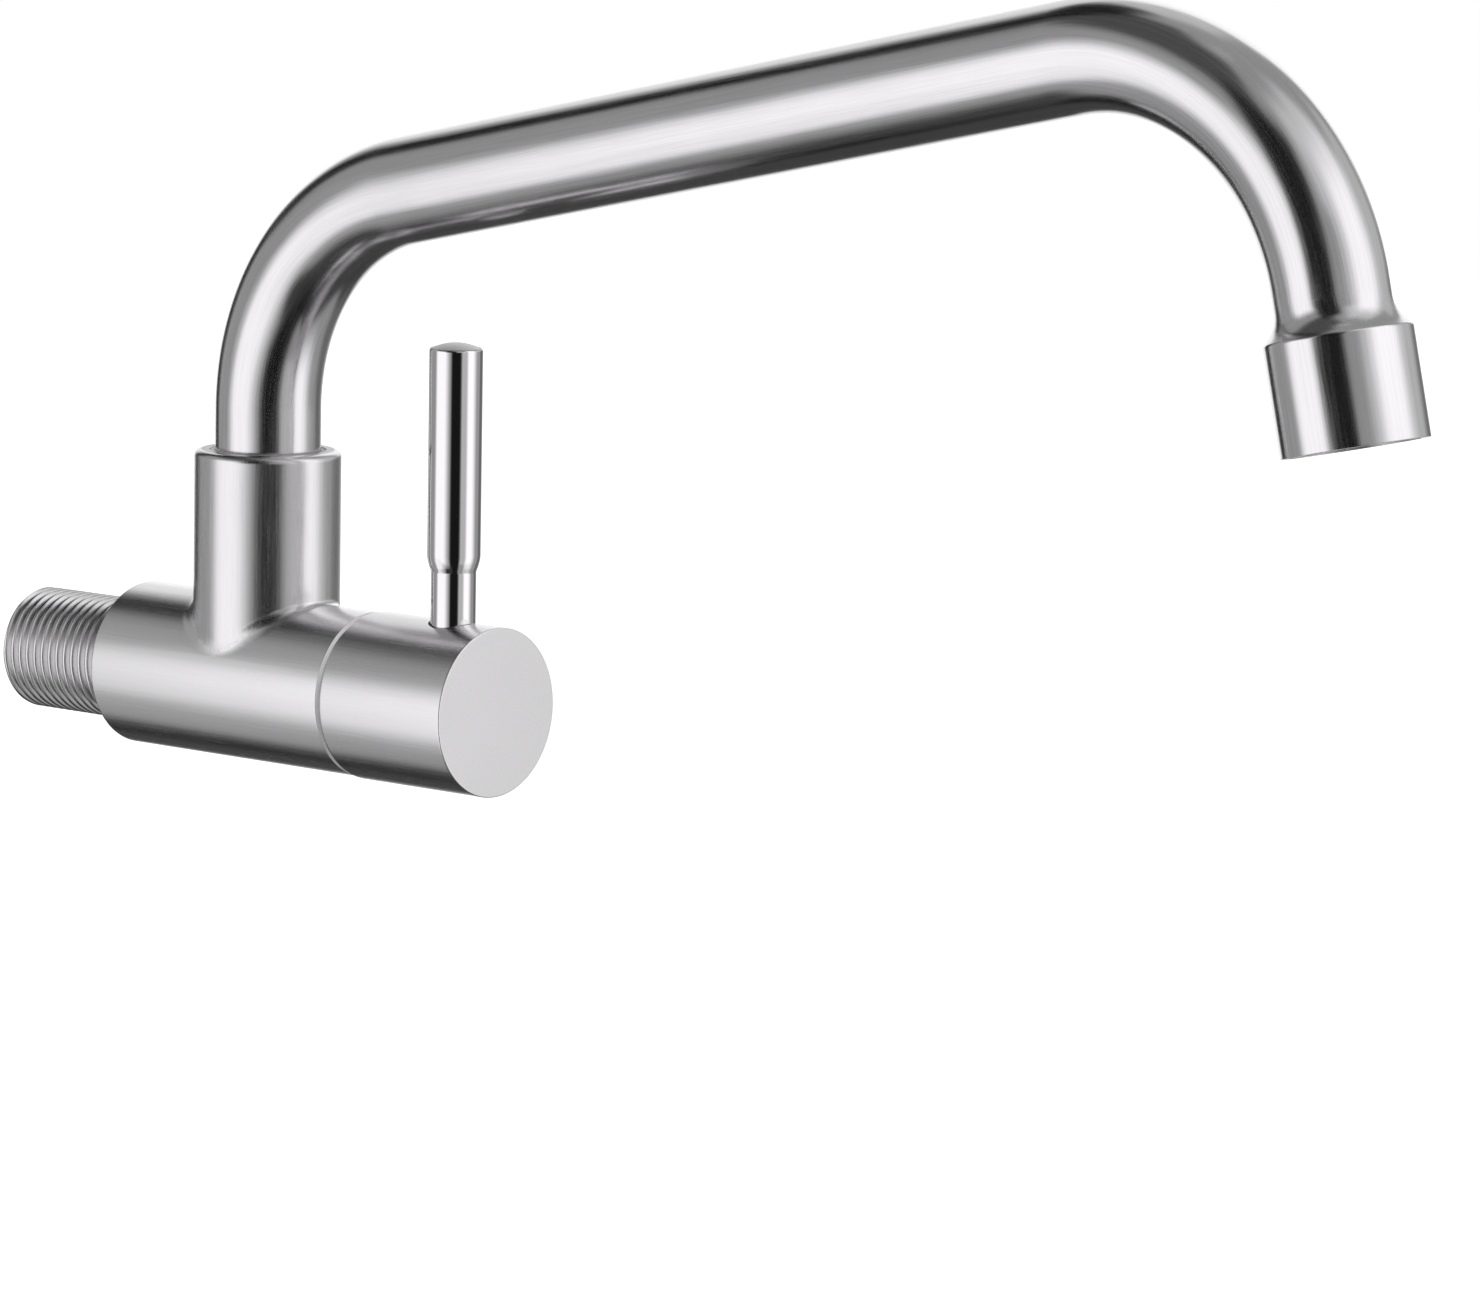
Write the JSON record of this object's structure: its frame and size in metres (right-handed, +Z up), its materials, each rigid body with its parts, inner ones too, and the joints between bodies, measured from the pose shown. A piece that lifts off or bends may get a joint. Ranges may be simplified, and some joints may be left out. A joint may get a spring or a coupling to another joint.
{
  "type": "wall tap",
  "caption": "Wall-mounted tap: threaded inlet, round barrel, bent swivel spout with a flared outlet, and a turning front cap with an upright lever.",
  "frame": {"origin": "on the axis of the inlet thread, at the barrel's rear shoulder, which is where the thread begins", "axes": "+X along the barrel away from the wall, +Z up along the spout's riser, +Y sideways so that the three are right-handed"},
  "size_m": [0.2914, 0.0284, 0.1394],
  "materials": {
    "satin_steel": "fine satin brush",
    "polished_steel": "mirror polish",
    "machined_steel": "bright turned",
    "brass": "turned",
    "ceramic": "lapped",
    "rubber": "moulded",
    "nylon": "moulded",
    "grey_nylon": "moulded",
    "spring_steel": "plain",
    "mesh_steel": "woven"
  },
  "bodies": {
    "body": {"body_shell": "satin_steel", "inlet_nipple": "machined_steel", "cartridge_body": "brass", "cartridge_washer": "rubber", "seat_seal": "rubber", "fixed_disc": "ceramic"},
    "handle": {"handle_cap": "satin_steel", "lever": "polished_steel", "spline_insert": "brass", "grub_screw": "machined_steel", "spindle": "brass", "moving_disc": "ceramic", "spindle_o_rings": "rubber", "spindle_clip": "spring_steel", "thrust_washer": "nylon"},
    "spout": {"spout_tube": "satin_steel", "spout_tail": "brass", "spout_o_rings": "rubber", "retaining_clip": "nylon", "slide_ring": "grey_nylon", "outlet_nozzle": "satin_steel", "aerator_housing": "machined_steel", "aerator_washer": "rubber", "aerator_diffuser": "nylon", "aerator_screens": "mesh_steel", "flow_straightener": "nylon"}
  },
  "joints": [
    {"name": "spout_swivel", "type": "hinge", "parent": "body", "child": "spout", "pos_m": [0.0285, 0, 0], "axis": [0, 0, 1], "continuous": true},
    {"name": "handle_turn", "type": "hinge", "parent": "body", "child": "handle", "pos_m": [0.0715, 0, 0], "axis": [1, 0, 0], "range_deg": [-90, 0]}
  ]
}
